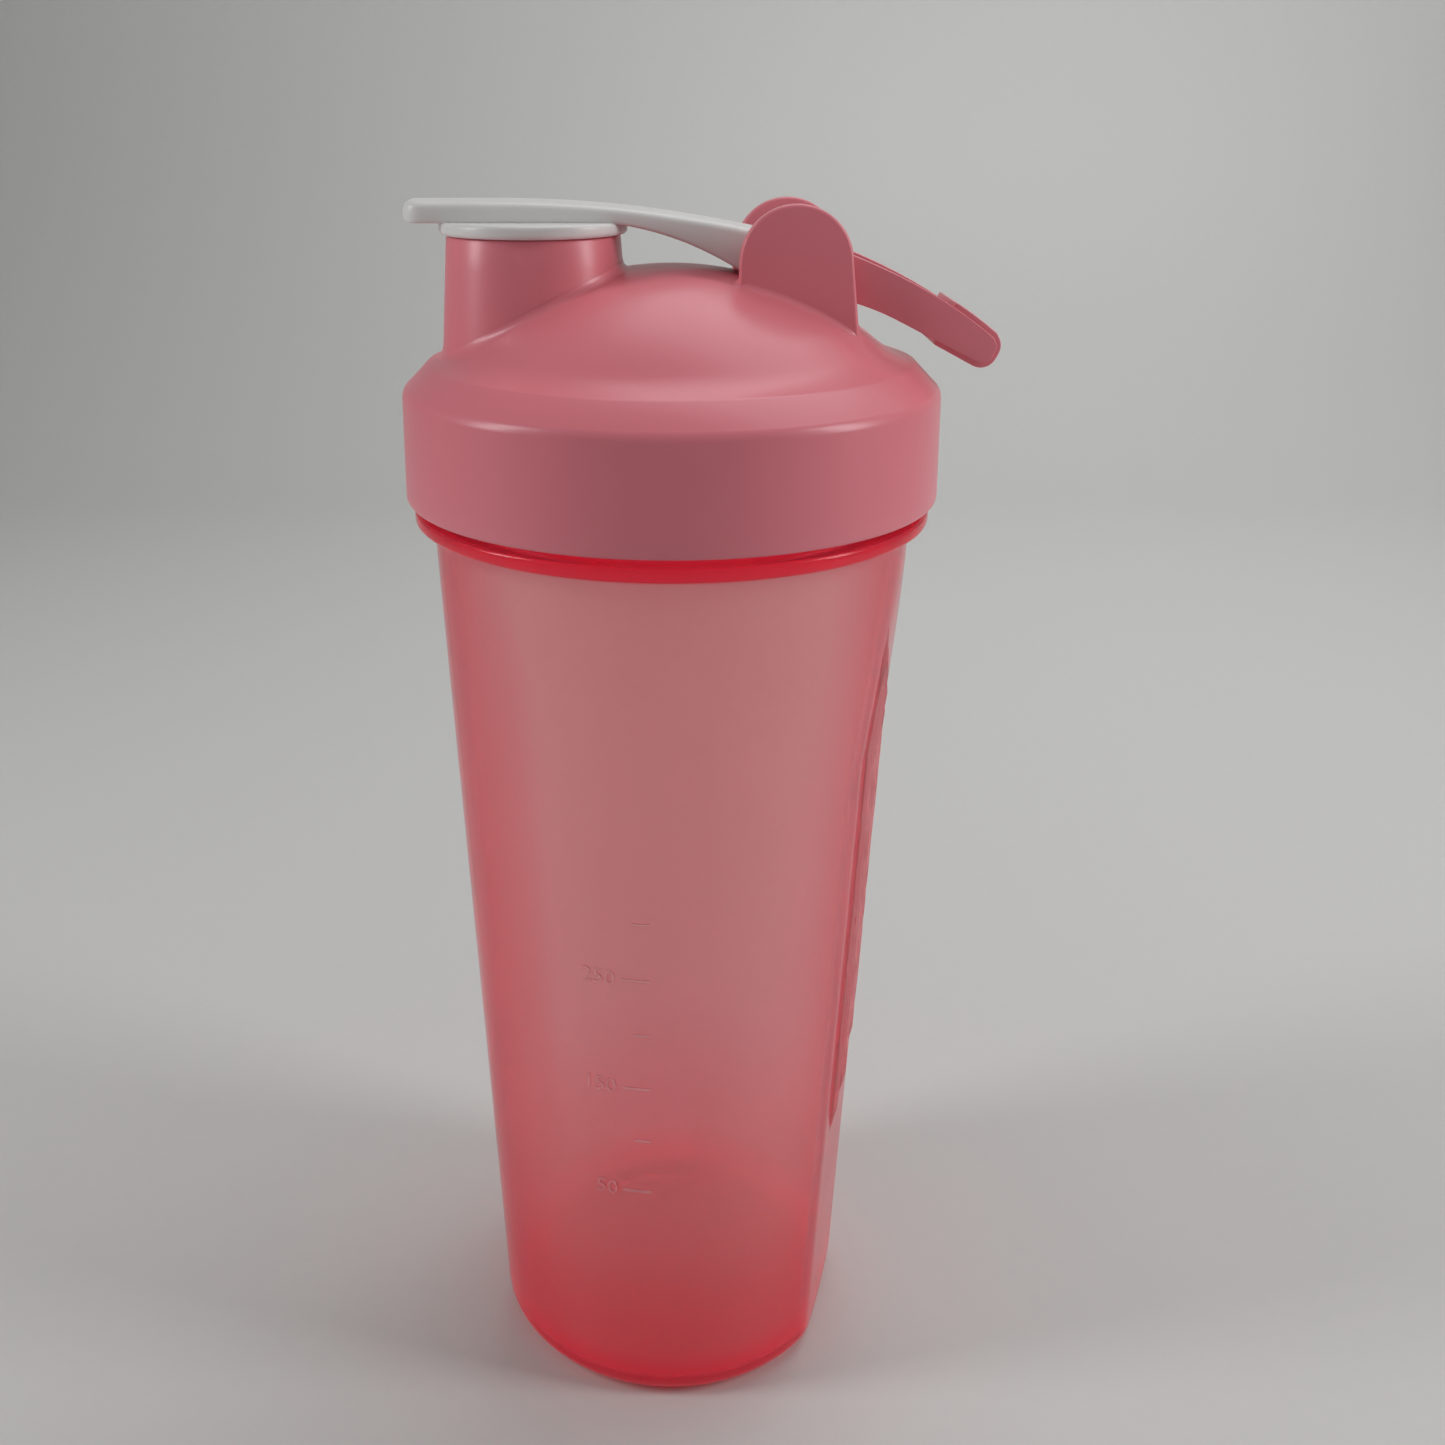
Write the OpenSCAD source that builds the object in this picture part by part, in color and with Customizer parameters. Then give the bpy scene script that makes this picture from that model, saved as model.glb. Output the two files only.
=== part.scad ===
// Protein shaker bottle: a tapered cup with two grip flats, a screw lid with a spout,
// a hinged flip cap with a plug, and a carry loop on the same hinge pin.
// Millimetres. The origin is the centre of the base, +Z is up, the spout is towards -X.

/* [Cup] */
// Radius that the outer wall would have at the base, without its rounding
wall_r_low = 33.6; // [32.5:0.1:35]
// Outer wall radius just under the flange
wall_r_high = 42.0; // [41:0.1:42.3]
// Wall thickness of the cup
cup_wall = 1.8; // [1.4:0.1:2.2]
// Thickness of the cup's floor
floor_t = 2.4; // [2:0.1:4]
// Rounding between the wall and the base
base_round = 4.5; // [3.5:0.5:7]
// Height of the cup's rim
rim_z = 185.2; // [184:0.1:185.6]

/* [Flange] */
// Outer radius of the flange ring under the lid
flange_r = 45.2; // [44:0.1:46]
// Height of the flange's lower edge
flange_z = 164.3; // [160:0.1:165]
// Thickness of the flange ring
flange_t = 2.5; // [2:0.1:3]

/* [Grip flats] */
// Angle of the grip flats about the axis, from +X
grip_angle = -16; // [-30:1:30]
// Distance of the flat from the axis at the base
grip_r_low = 30.9; // [30:0.1:32]
// Distance of the flat from the axis where its upper slope starts
grip_r_mid = 37.6; // [37:0.1:38.4]
// Height where the upper slope starts
grip_z_mid = 125; // [110:1:130]
// Height where the upper slope runs out of the wall
grip_z_top = 153; // [145:1:156]
// Height of a rib above the flat
rib_h = 0.8; // [0.4:0.1:1.2]
// Width of a rib
rib_w = 0.9; // [0.6:0.1:1.5]
// Distance between neighbouring ribs
rib_pitch = 4.2; // [3:0.1:5]

/* [Thread] */
// Outer radius of the neck, at the thread's root
neck_r = 41.7; // [41.7:0.1:41.8]
// Height of a thread tooth above its root
tooth_h = 2.0; // [1.5:0.1:2.1]
// Rise of the thread in one full turn, with two starts
thread_lead = 10; // [9:0.5:12]
// Length of each thread in turns
thread_turns = 0.9; // [0.5:0.1:0.9]

/* [Lid] */
// Outer radius of the lid's collar
lid_r = 46.5; // [46:0.1:47]
// Height of the collar's lower edge
lid_z = 168.3; // [167:0.1:169]
// Height where the collar's shoulder rounding starts
shoulder_z = 186.0; // [185.6:0.1:186.4]
// Radius where the dome meets the shoulder's shelf
shelf_r = 36.6; // [36:0.1:38]
// Height of the dome's foot
shelf_z = 193.7; // [193:0.1:194.4]
// Height of the dome's top
dome_z = 207.6; // [207:0.1:207.8]
// Wall thickness of the dome
lid_wall = 2.0; // [1.6:0.1:2.2]

/* [Spout] */
// Distance of the spout's centre from the axis
spout_x = 23.4; // [22:0.1:24]
// Outer radius of the spout at its rim
spout_r_top = 14.8; // [14.5:0.1:15.5]
// Outer radius of the spout where it meets the dome
spout_r_low = 16.0; // [15.5:0.1:16.5]
// Bore radius of the spout
spout_bore_r = 13.0; // [12:0.1:13]
// Height of the spout's rim
spout_z = 212.6; // [212:0.1:213.2]

/* [Hinge] */
// Distance of the hinge axis from the bottle's axis
hinge_x = 20.4; // [20:0.1:21]
// Height of the hinge axis
hinge_z = 208.9; // [208.7:0.1:209.6]
// Radius of the hinge pin
pin_r = 2.0; // [1.5:0.1:2.5]
// Running clearance between the pin and what turns on it
pin_gap = 0.05; // [0.02:0.01:0.1]
// Radius of an ear's rounded top
ear_r = 9.3; // [9:0.1:9.6]
// Distance from the middle to an ear's outer face
ear_y = 12.5; // [12:0.1:14]
// Thickness of an ear
ear_t = 2.9; // [2.6:0.1:3.2]

/* [Flip cap] */
// Width of the arm over the spout
arm_w = 15; // [13:0.1:17]
// Width of the thumb tab
tab_w = 12.5; // [11:0.1:14]
// Radius of the arm's barrel round the pin
barrel_r = 4.5; // [4.2:0.1:4.6]
// Outer radius of the disc that covers the spout
disc_r = 15.9; // [15.5:0.1:16.3]
// Thickness of that disc
disc_t = 2.2; // [2:0.1:2.6]
// Depth that the plug reaches into the spout
plug_depth = 4.6; // [4:0.1:5]

/* [Carry loop] */
// Thickness of a loop arm
loop_t = 3.0; // [2.6:0.1:3.2]
// Slope of the loop arms below the horizontal
loop_slope = 26; // [22:1:28]
// Distance from the hinge axis to the end bar's far face
loop_len = 37.8; // [36:0.1:40]
// Depth of a loop arm halfway along
loop_depth = 6.4; // [6:0.1:7]
// How far the arms' middle line rises above the hinge halfway along
loop_rise = 2.0; // [1.6:0.1:2.2]
// How far the end bar stands out round the arms' ends
bar_edge = 0.9; // [0.6:0.1:1.2]

/* [Hidden] */
$fn = 96;
ARC_STEPS = 8;          // points in a quarter round
LONG = 200;             // longer than any cut that uses it
PINK = "#d98790";
CUP_RED = "#e0505f";
WHITE = "#efefee";
SOFT = "#d8d3d0";
STEEL = "#b8bcc0";

wall_slope = (wall_r_high - wall_r_low) / flange_z;
lean = atan(wall_slope);
base_flat_r = wall_r_low - base_round * (1 / cos(lean) - tan(lean));
neck_in_r = neck_r - 1.8;
neck_step_z = 172;
thread_start_z = 171.4;
tooth_root_w = 2.7;
tooth_crest_w = 1.3;
thread_turn_steps = 40;

lid_skirt_r = neck_r + tooth_h + 0.5;      // inside of the collar
ceiling_z = rim_z + 1.6;                   // flat that the gasket lies against
lip_r = neck_in_r - 0.9;                   // outside of the lip that centres the lid
lip_t = 1.5;
lip_z = rim_z - 5.4;
dome_sphere_r = (pow(shelf_r, 2) + pow(dome_z - shelf_z, 2)) / (2 * (dome_z - shelf_z));
dome_centre_z = dome_z - dome_sphere_r;
shoulder_round = 2.4;

ear_in_y = ear_y - ear_t;
loop_out_y = ear_in_y - 0.35;
loop_in_y = loop_out_y - loop_t;
barrel_half_w = loop_in_y - 0.35;
bore_r = pin_r + pin_gap;

tab_x = -45.0;                             // tip of the thumb tab
arm_top_z = 218.5;                         // highest point of the arm
tab_low_z = 214.7;                         // underside of the thumb tab
disc_low_z = spout_z + 0.1;
disc_top_z = disc_low_z + disc_t;
disc_edge = 0.7;
plug_r = spout_bore_r - 0.6;
plug_edge = 1.0;
groove_r = plug_r - 0.8;
groove_h = 1.5;
groove_z = disc_low_z - 2.7;
seal_r = spout_bore_r - 0.12;              // slides in the spout's bore

// ---------- helpers ----------

// Points of an arc about (cx, cy), from angle a0 to a1
function arc(cx, cy, r, a0, a1, n = ARC_STEPS) =
    [for (i = [0:n]) let (a = a0 + (a1 - a0) * i / n) [cx + r * cos(a), cy + r * sin(a)]];

// Points of a quadratic curve from p to q that leans towards c
function curve(p, c, q, n = ARC_STEPS) =
    [for (i = [0:n]) let (t = i / n) (1 - t) * (1 - t) * p + 2 * t * (1 - t) * c + t * t * q];

// Outer wall radius of the plain cone at height z
function wall_at(z) = wall_r_low + wall_slope * z;

// One thread tooth swept along a helix: root_r and crest_r may lie either way round
module thread(root_r, crest_r, z0, start) {
    steps = ceil(thread_turns * thread_turn_steps);
    fade = 4;                      // steps over which the tooth runs in and out
    rings = [for (i = [0:steps])
        let (a = start + 360 * i / thread_turn_steps,
             z = z0 + thread_lead * i / thread_turn_steps,
             k = min(1, (i + 0.4) / fade, (steps - i + 0.4) / fade),
             c = root_r + (crest_r - root_r) * k,
             side = sign(crest_r - root_r))
        for (p = [[root_r, -side * tooth_root_w / 2], [c, -side * tooth_crest_w / 2],
                  [c, side * tooth_crest_w / 2], [root_r, side * tooth_root_w / 2]])
            [p[0] * cos(a), p[0] * sin(a), z + p[1]]];
    walls = [for (i = [0:steps - 1]) for (j = [0:3])
        let (a = 4 * i + j, b = 4 * i + (j + 1) % 4)
        for (t = [[a, b, b + 4], [a, b + 4, a + 4]]) t];
    last = 4 * steps;
    caps = [[0, 3, 2], [0, 2, 1], [last, last + 1, last + 2], [last, last + 2, last + 3]];
    polyhedron(rings, concat(walls, caps));
}

// A flat plate standing along X, from -w/2 to w/2 in Y, from an outline in X and Z
module plate(w) {
    translate([0, w / 2, 0]) rotate([90, 0, 0]) linear_extrude(w) children();
}

// ---------- cup ----------

module cup_outline(inset) {
    r = base_round - inset;
    z_low = inset == 0 ? 0 : floor_t;
    a = -lean;
    bottom = arc(base_flat_r, z_low + r, r, -90, a);
    shift = inset / cos(lean);
    if (inset == 0)
        polygon(concat([[0, 0]], bottom,
            [[wall_r_high, flange_z],
             [flange_r - 0.9, flange_z], [flange_r, flange_z + 0.9],
             [flange_r, flange_z + flange_t - 0.5], [flange_r - 0.5, flange_z + flange_t],
             [neck_r, flange_z + flange_t], [neck_r, rim_z], [0, rim_z]]));
    else
        polygon(concat([[0, floor_t]], bottom,
            [[wall_at(flange_z) - shift, flange_z],
             [neck_in_r - 0.5, neck_step_z], [neck_in_r, neck_step_z + 1.5],
             [neck_in_r, rim_z + 1], [0, rim_z + 1]]));
}

// Distance of the grip flat from the axis at height z
function grip_at(z) = z < grip_z_mid
    ? grip_r_low + (grip_r_mid - grip_r_low) * z / grip_z_mid
    : grip_r_mid + (wall_at(grip_z_top) - grip_r_mid) * (z - grip_z_mid) / (grip_z_top - grip_z_mid);

module grip_cut(inset) {
    top = grip_z_top + 8;
    for (turn = [0, 180]) rotate([0, 0, grip_angle + turn]) plate(LONG)
        polygon([[grip_at(-10) - inset, -10], [grip_at(grip_z_mid) - inset, grip_z_mid],
                 [grip_at(top) - inset, top], [LONG, top], [LONG, -10]]);
}

// Ribs on one flat: each runs a little higher or lower than the last
module ribs() {
    low = [46, 52, 48, 56];        // where each rib starts and ends
    high = [146, 141, 136, 130];
    for (i = [0:3]) translate([0, (i - 1.5) * rib_pitch, 0]) plate(rib_w)
        polygon([[grip_at(low[i]) - 0.6, low[i] - 3], [grip_at(low[i]) + rib_h, low[i] + 3],
                 [grip_at(grip_z_mid) + rib_h, grip_z_mid],
                 [grip_at(high[i] - 3) + rib_h, high[i] - 3], [grip_at(high[i]) - 0.2, high[i]],
                 [grip_at(grip_z_mid) - 0.6, grip_z_mid]]);
}

module bottle_body() {
    color(CUP_RED) {
        difference() {
            difference() {
                rotate_extrude($fn = 96) cup_outline(0);
                grip_cut(0);
            }
            difference() {
                rotate_extrude($fn = 96) cup_outline(cup_wall);
                grip_cut(cup_wall);
            }
        }
        for (turn = [0, 180]) rotate([0, 0, grip_angle + turn]) ribs();
        for (start = [0, 180])
            thread(neck_r - 0.3, neck_r + tooth_h, thread_start_z, start);
    }
}

// ---------- lid ----------

module lid_outer_outline() {
    a_shelf = 60;                  // where the shoulder's rounding turns into the shelf
    polygon(concat([[0, lid_z]],
        [[lid_r - 0.6, lid_z], [lid_r, lid_z + 0.6]],
        arc(lid_r - 0.1 - shoulder_round, shoulder_z, shoulder_round, 0, a_shelf),
        curve([shelf_r + 5, shelf_z - 1.8], [shelf_r + 1.4, shelf_z - 0.6], [shelf_r, shelf_z], 4),
        arc(0, dome_centre_z, dome_sphere_r, asin((shelf_z - dome_centre_z) / dome_sphere_r), 90, 16)));
}

module lid_inner_outline() {
    r = dome_sphere_r - lid_wall;
    in_r = lip_r - lip_t;
    polygon(concat([[0, lid_z - 1], [lid_skirt_r + 0.6, lid_z - 1], [lid_skirt_r, lid_z + 1.2],
                    [lid_skirt_r, ceiling_z], [lip_r, ceiling_z], [lip_r, lip_z + 0.5],
                    [lip_r - 0.5, lip_z], [in_r, lip_z]],
        arc(0, dome_centre_z, r, acos(in_r / r), 90, 16)));
}

module ear_outline() {
    foot = 14;                     // reaches well into the dome
    union() {
        translate([hinge_x, hinge_z]) circle(ear_r);
        polygon([[hinge_x - ear_r, hinge_z], [hinge_x + ear_r, hinge_z],
                 [hinge_x + ear_r + 1.5, hinge_z - foot], [hinge_x - ear_r - 0.4, hinge_z - foot]]);
    }
}

module screw_lid() {
    spout_base_z = shelf_z - 4;
    color(PINK) {
        difference() {
            union() {
                rotate_extrude() lid_outer_outline();
                translate([-spout_x, 0, spout_base_z])
                    cylinder(h = spout_z - spout_base_z, r1 = spout_r_low + 0.2, r2 = spout_r_top);
                for (side = [-1, 1])
                    translate([0, side * (ear_y - ear_t / 2), 0]) plate(ear_t) ear_outline();
            }
            rotate_extrude() lid_inner_outline();
            translate([-spout_x, 0, spout_base_z - 6]) cylinder(h = 40, r = spout_bore_r);
            translate([-spout_x, 0, spout_z - 1])
                cylinder(h = 1.01, r1 = spout_bore_r, r2 = spout_bore_r + 0.6);
            // the pin goes in through the far ear and stops inside the near one
            translate([hinge_x, ear_y + 1, hinge_z]) rotate([90, 0, 0])
                cylinder(h = 2 * ear_y - ear_t + 1 + ear_t / 2, r = pin_r);
        }
        for (start = [0, 180])
            thread(lid_skirt_r + 0.3, neck_r + 0.6, thread_start_z + thread_lead / 4, start);
    }
}

module lid_gasket() {
    color(SOFT) translate([0, 0, rim_z]) difference() {
        cylinder(h = ceiling_z - rim_z, r = neck_r + 0.3);
        translate([0, 0, -1]) cylinder(h = 6, r = lip_r + 0.05);
    }
}

// Strainer basket pushed up into the lid's lip
module mixing_grid() {
    rim_r = lip_r - lip_t - 0.02;  // a push fit
    rim_t = 1.4;
    z_low = lip_z - 4.5;
    ledge_h = 1.6;
    bar = 1.5;
    ring_r = 7;                    // smallest ring
    spokes = 8;
    color(WHITE) {
        translate([0, 0, z_low]) difference() {
            cylinder(h = lip_z + 3.5 - z_low, r = rim_r);
            translate([0, 0, -1]) cylinder(h = LONG, r = rim_r - rim_t);
        }
        translate([0, 0, lip_z - ledge_h]) difference() {
            cylinder(h = ledge_h, r = lip_r - 0.2);
            translate([0, 0, -1]) cylinder(h = LONG, r = rim_r - rim_t / 2);
        }
        for (r = [ring_r:8:31]) translate([0, 0, z_low]) difference() {
            cylinder(h = bar, r = r + bar / 2);
            translate([0, 0, -1]) cylinder(h = LONG, r = r - bar / 2);
        }
        for (i = [1:spokes]) rotate([0, 0, (i - 0.5) * 360 / spokes])
            translate([ring_r - 0.4, -bar / 2, z_low]) cube([rim_r - ring_r - 0.2, bar, bar]);
    }
}

module hinge_pin() {
    color(STEEL) translate([hinge_x, ear_y - 0.3, hinge_z]) rotate([90, 0, 0])
        cylinder(h = 2 * ear_y - ear_t / 2 - 0.4, r = pin_r);
}

// ---------- flip cap ----------

// Side outline of the arm: a long flat arch that thickens towards the barrel
module arm_outline() {
    top_r = 215;                   // radius of the arm's long upper curve
    top_x = tab_x + 15;            // where that curve leaves the level tab
    under_z = disc_top_z - 0.6;    // sunk into the disc
    a_end = 90 - asin((hinge_x - 6 - top_x) / top_r);
    union() {
        polygon(concat(
            [[tab_x + 0.6, tab_low_z], [tab_x, tab_low_z + 0.6], [tab_x, arm_top_z - 1.2],
             [tab_x + 1, arm_top_z - 0.1]],
            arc(top_x, arm_top_z - top_r, top_r, 90, a_end, 12),
            [[hinge_x, hinge_z + barrel_r - 0.3], [hinge_x, hinge_z - barrel_r + 1.6]],
            curve([hinge_x - 9, hinge_z - 1.8], [hinge_x - 20, hinge_z + 3.4],
                  [-spout_x + disc_r - 2, under_z - 0.6], 8),
            [[-spout_x, under_z], [-spout_x - disc_r + 2, under_z]]));
        translate([hinge_x, hinge_z]) circle(barrel_r);
    }
}

// Plan outline of the arm
module arm_plan() {
    r = 4;                         // corners of the thumb tab
    polygon(concat(
        arc(tab_x + r, -tab_w / 2 + r, r, 270, 180, 5), arc(tab_x + r, tab_w / 2 - r, r, 180, 90, 5),
        [[-spout_x - 6, arm_w / 2], [-spout_x + 12, arm_w / 2],
         [hinge_x - 12, barrel_half_w], [hinge_x + 10, barrel_half_w],
         [hinge_x + 10, -barrel_half_w], [hinge_x - 12, -barrel_half_w],
         [-spout_x + 12, -arm_w / 2], [-spout_x - 6, -arm_w / 2]]));
}

module flip_cap() {
    color(WHITE) difference() {
        union() {
            intersection() {
                plate(LONG) arm_outline();
                translate([0, 0, 190]) linear_extrude(40) arm_plan();
            }
            translate([-spout_x, 0, disc_low_z + disc_edge])
                cylinder(h = disc_t - disc_edge, r = disc_r);
            translate([-spout_x, 0, disc_low_z])
                cylinder(h = disc_edge, r1 = disc_r - disc_edge, r2 = disc_r);
        }
        translate([hinge_x, LONG / 2, hinge_z]) rotate([90, 0, 0]) cylinder(h = LONG, r = bore_r);
    }
}

// Hollow plug under the disc, with a groove for its seal
module spout_stopper() {
    low_z = disc_low_z - plug_depth;
    color(WHITE) translate([-spout_x, 0, 0]) difference() {
        union() {
            translate([0, 0, low_z + plug_edge]) cylinder(h = plug_depth - plug_edge, r = plug_r);
            translate([0, 0, low_z]) cylinder(h = plug_edge, r1 = plug_r - plug_edge, r2 = plug_r);
        }
        translate([0, 0, low_z - 1]) cylinder(h = plug_depth - 0.6, r = plug_r - 2.6);
        translate([0, 0, groove_z]) difference() {
            cylinder(h = groove_h, r = plug_r + 1);
            translate([0, 0, -1]) cylinder(h = 4, r = groove_r);
        }
    }
}

module stopper_seal() {
    top_z = groove_z + groove_h;
    color(SOFT) translate([-spout_x, 0, 0]) rotate_extrude()
        polygon([[groove_r, groove_z], [seal_r - 0.3, groove_z], [seal_r, groove_z + 0.4],
                 [seal_r, top_z - 0.4], [seal_r - 0.3, top_z], [groove_r, top_z]]);
}

// ---------- carry loop ----------

// Side outline of a loop arm, along +X from the hinge, before it is turned down. Grow
// makes it bigger all round, for the end bar.
module loop_outline(grow) {
    boss_r = 4.4;
    end_r = 1.9 + grow;
    end_x = loop_len - bar_edge + grow - end_r;
    top = loop_rise + loop_depth / 2 + grow;
    low = loop_rise - loop_depth / 2 - grow;
    end_top = top - 1.9;
    union() {
        circle(boss_r);
        polygon(concat(
            [[0, -boss_r], [0, boss_r]],
            curve([6, top - 0.4], [loop_len * 0.62, top + 1.2], [end_x + end_r * cos(70), end_top], 8),
            arc(end_x, end_top - end_r, end_r, 60, 0, 4),
            arc(end_x, low - 0.3 + end_r, end_r, 0, -90, 5),
            curve([loop_len / 2, low], [loop_len / 3, low], [4, -boss_r + 0.9], 5)));
    }
}

module carry_loop() {
    bar_x = loop_len - 10.5;       // where the end bar begins
    bar_step = 0.8;                // the arms' outer faces stand this far outside the bar
    color(PINK) difference() {
        union() {
            for (side = [-1, 1])
                translate([hinge_x, side * (loop_out_y + loop_in_y) / 2, hinge_z])
                    rotate([0, loop_slope, 0]) plate(loop_t) loop_outline(0);
            translate([hinge_x, 0, hinge_z]) rotate([0, loop_slope, 0])
                plate(2 * (loop_out_y - bar_step)) intersection() {
                    loop_outline(bar_edge);
                    translate([bar_x, -LONG / 2]) square(LONG);
                }
        }
        translate([hinge_x, LONG / 2, hinge_z]) rotate([90, 0, 0]) cylinder(h = LONG, r = bore_r);
    }
}

bottle_body();
screw_lid();
lid_gasket();
mixing_grid();
hinge_pin();
flip_cap();
spout_stopper();
stopper_seal();
carry_loop();
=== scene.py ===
"""Protein shaker bottle: the looks of the cup, screw lid, flip cap and carry loop, built round the fixed frame."""

from math import acos, asin, atan, ceil, cos, degrees, hypot, pi, radians, sin, sqrt, tan

import bpy
from bpy.props import FloatProperty, FloatVectorProperty, PointerProperty
from mathutils import Matrix, Vector


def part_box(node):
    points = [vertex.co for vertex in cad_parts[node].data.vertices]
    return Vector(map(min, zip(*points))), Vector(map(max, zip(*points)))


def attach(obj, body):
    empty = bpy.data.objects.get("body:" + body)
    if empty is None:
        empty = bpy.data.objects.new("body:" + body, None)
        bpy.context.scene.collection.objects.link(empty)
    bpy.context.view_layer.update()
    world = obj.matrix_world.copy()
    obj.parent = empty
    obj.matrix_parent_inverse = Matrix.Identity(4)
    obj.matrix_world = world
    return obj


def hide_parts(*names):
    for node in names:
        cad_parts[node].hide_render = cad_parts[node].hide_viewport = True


bl_info = {
    "name": "Protein shaker bottle",
    "version": (1, 0, 0),
    "blender": (4, 5, 0),
    "location": "View3D > Sidebar > Shaker",
    "description": "Builds a shaker bottle's cup, lid, flip cap, carry loop and studio",
    "category": "Object",
}

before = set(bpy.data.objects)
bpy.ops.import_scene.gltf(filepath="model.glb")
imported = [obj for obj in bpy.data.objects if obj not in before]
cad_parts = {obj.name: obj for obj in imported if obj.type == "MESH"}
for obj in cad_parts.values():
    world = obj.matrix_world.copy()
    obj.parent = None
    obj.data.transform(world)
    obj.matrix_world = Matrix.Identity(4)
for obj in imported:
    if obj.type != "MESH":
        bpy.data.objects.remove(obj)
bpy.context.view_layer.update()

MM = 0.001
SEAM = 1e-6  # points nearer than this, in metres, are one point
ROUND = 6  # faces in a quarter round


def node_box(node):
    """A CAD node's lowest and highest corners in millimetres."""
    low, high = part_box(node)
    return low / MM, high / MM


PIN_LOW, PIN_HIGH = node_box("hinge_pin")
GASKET_LOW, GASKET_HIGH = node_box("lid_gasket")
GRID_LOW, GRID_HIGH = node_box("mixing_grid")
LOOP_HIGH = node_box("carry_loop")[1]
CAP_HIGH = node_box("flip_cap")[1]

# ---------------------------------------------------------------- sizes, in millimetres

# cup
WALL_LOW = 33.6
WALL_HIGH = 42.0
BASE_ROUND = 4.5
FLOOR = 2.4
RIM_Z = GASKET_LOW.z
FLANGE_Z = 164.3
FLANGE_R = 45.2
FLANGE_T = 2.5
NECK_R = 41.7
NECK_IN_R = 39.9
# grip flats
GRIP_ANGLE = -16.0
GRIP_LOW = 30.9
GRIP_MID = 37.6
GRIP_MID_Z = 125.0
GRIP_TOP_Z = 153.0
RIB_PITCH = 4.2
# lid
LID_R = 46.5
LID_Z = 168.3
SHOULDER_Z = 186.0
SHOULDER_ROUND = 2.4
SHELF_R = 36.6
SHELF_Z = 193.7
DOME_Z = 207.6
CEILING_Z = GASKET_HIGH.z
SKIRT_R = 44.2
LIP_R = 39.0
LIP_T = 1.5
LIP_Z = RIM_Z - 5.4
# spout
SPOUT_X = -23.4
SPOUT_TOP_R = 14.8
SPOUT_LOW_R = 16.0
SPOUT_Z = 212.6
# hinge
PIN_R = (PIN_HIGH.x - PIN_LOW.x) / 2
BORE_R = PIN_R + 0.05  # the bore of what turns on the pin
HINGE_X = (PIN_HIGH.x + PIN_LOW.x) / 2
HINGE_Z = (PIN_HIGH.z + PIN_LOW.z) / 2
EAR_R = 9.3
EAR_OUT = 12.5
EAR_T = 2.9
LOOP_OUT = LOOP_HIGH.y
LOOP_T = 3.0
BARREL_R = 4.5
BARREL_HALF = LOOP_OUT - LOOP_T - 0.35
# flip cap
TAB_X = -45.0
DISC_R = 15.9
DISC_LOW_Z = 212.7
DISC_TOP_Z = 214.9
ARM_R = 215.0  # radius of the arm's long upper curve
ARM_LEVEL = 15.0  # length of the level tab before that curve
TAB_LOW_Z = 214.7
ARM_FOOT_X = 11.4  # where the underside reaches the hinge barrel
ARM_FOOT_Z = 207.0
# carry loop
LOOP_LENGTH = 37.8
LOOP_DEPTH = 6.4
LOOP_RISE = 2.0
LOOP_SLOPE = 26.0
BAR_EDGE = 0.9
# thread
THREAD_Z = 171.4
THREAD_LEAD = 10.0
THREAD_TURNS = 0.9

WALL_SLOPE = (WALL_HIGH - WALL_LOW) / FLANGE_Z
DOME_R = (SHELF_R**2 + (DOME_Z - SHELF_Z) ** 2) / (2 * (DOME_Z - SHELF_Z))
DOME_CENTRE_Z = DOME_Z - DOME_R


# ---------------------------------------------------------------- shapes in numbers


def arc(cx, cz, r, a0, a1, n=ROUND):
    """Points of an arc about (cx, cz), from a0 to a1 degrees."""
    return [
        (cx + r * cos(radians(a0 + (a1 - a0) * i / n)), cz + r * sin(radians(a0 + (a1 - a0) * i / n)))
        for i in range(n + 1)
    ]


def curve(p, c, q, n=ROUND):
    """Points of a quadratic curve from p to q that leans towards c."""
    return [
        tuple((1 - t) ** 2 * p[k] + 2 * t * (1 - t) * c[k] + t * t * q[k] for k in (0, 1))
        for t in (i / n for i in range(n + 1))
    ]


SHELF_IN = 0.8  # how far inside the shelf's radius the hollow curve up the dome ends
SHELF_CURVE = curve(
    (SHELF_R + 5.4, SHELF_Z - 2.2), (SHELF_R + 1.6, SHELF_Z - 1.2), (SHELF_R - SHELF_IN, SHELF_Z + 0.72), 9
)


def line(p, q, n):
    """Points from p to q, both of them with n steps."""
    return [tuple(p[k] + (q[k] - p[k]) * i / n for k in (0, 1)) for i in range(n + 1)]


def wall_at(z):
    """Outer radius of the cup's plain cone at height z."""
    return WALL_LOW + WALL_SLOPE * z


def grip_at(z):
    """Distance of a grip flat from the axis at height z."""
    if z < GRIP_MID_Z:
        return GRIP_LOW + (GRIP_MID - GRIP_LOW) * z / GRIP_MID_Z
    rise = (wall_at(GRIP_TOP_Z) - GRIP_MID) / (GRIP_TOP_Z - GRIP_MID_Z)
    return GRIP_MID + rise * (z - GRIP_MID_Z)


def soft_min(a, b, k):
    """The smaller of two lengths, with a rounding of about k where they meet."""
    near = max(k - abs(a - b), 0) / k
    return min(a, b) - near * near * k / 4


def roof_at(x, y):
    """Height of the lid's outer face, on the dome or the shelf round it."""
    r = hypot(x, y)
    if r < SHELF_R - SHELF_IN:
        return DOME_CENTRE_Z + sqrt(DOME_R**2 - r * r)
    points = SHELF_CURVE
    for (r0, z0), (r1, z1) in zip(points, points[1:]):
        if r1 <= r <= r0:
            return z1 + (z0 - z1) * (r - r1) / (r0 - r1)
    return points[0][1]


# ---------------------------------------------------------------- modelling


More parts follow.
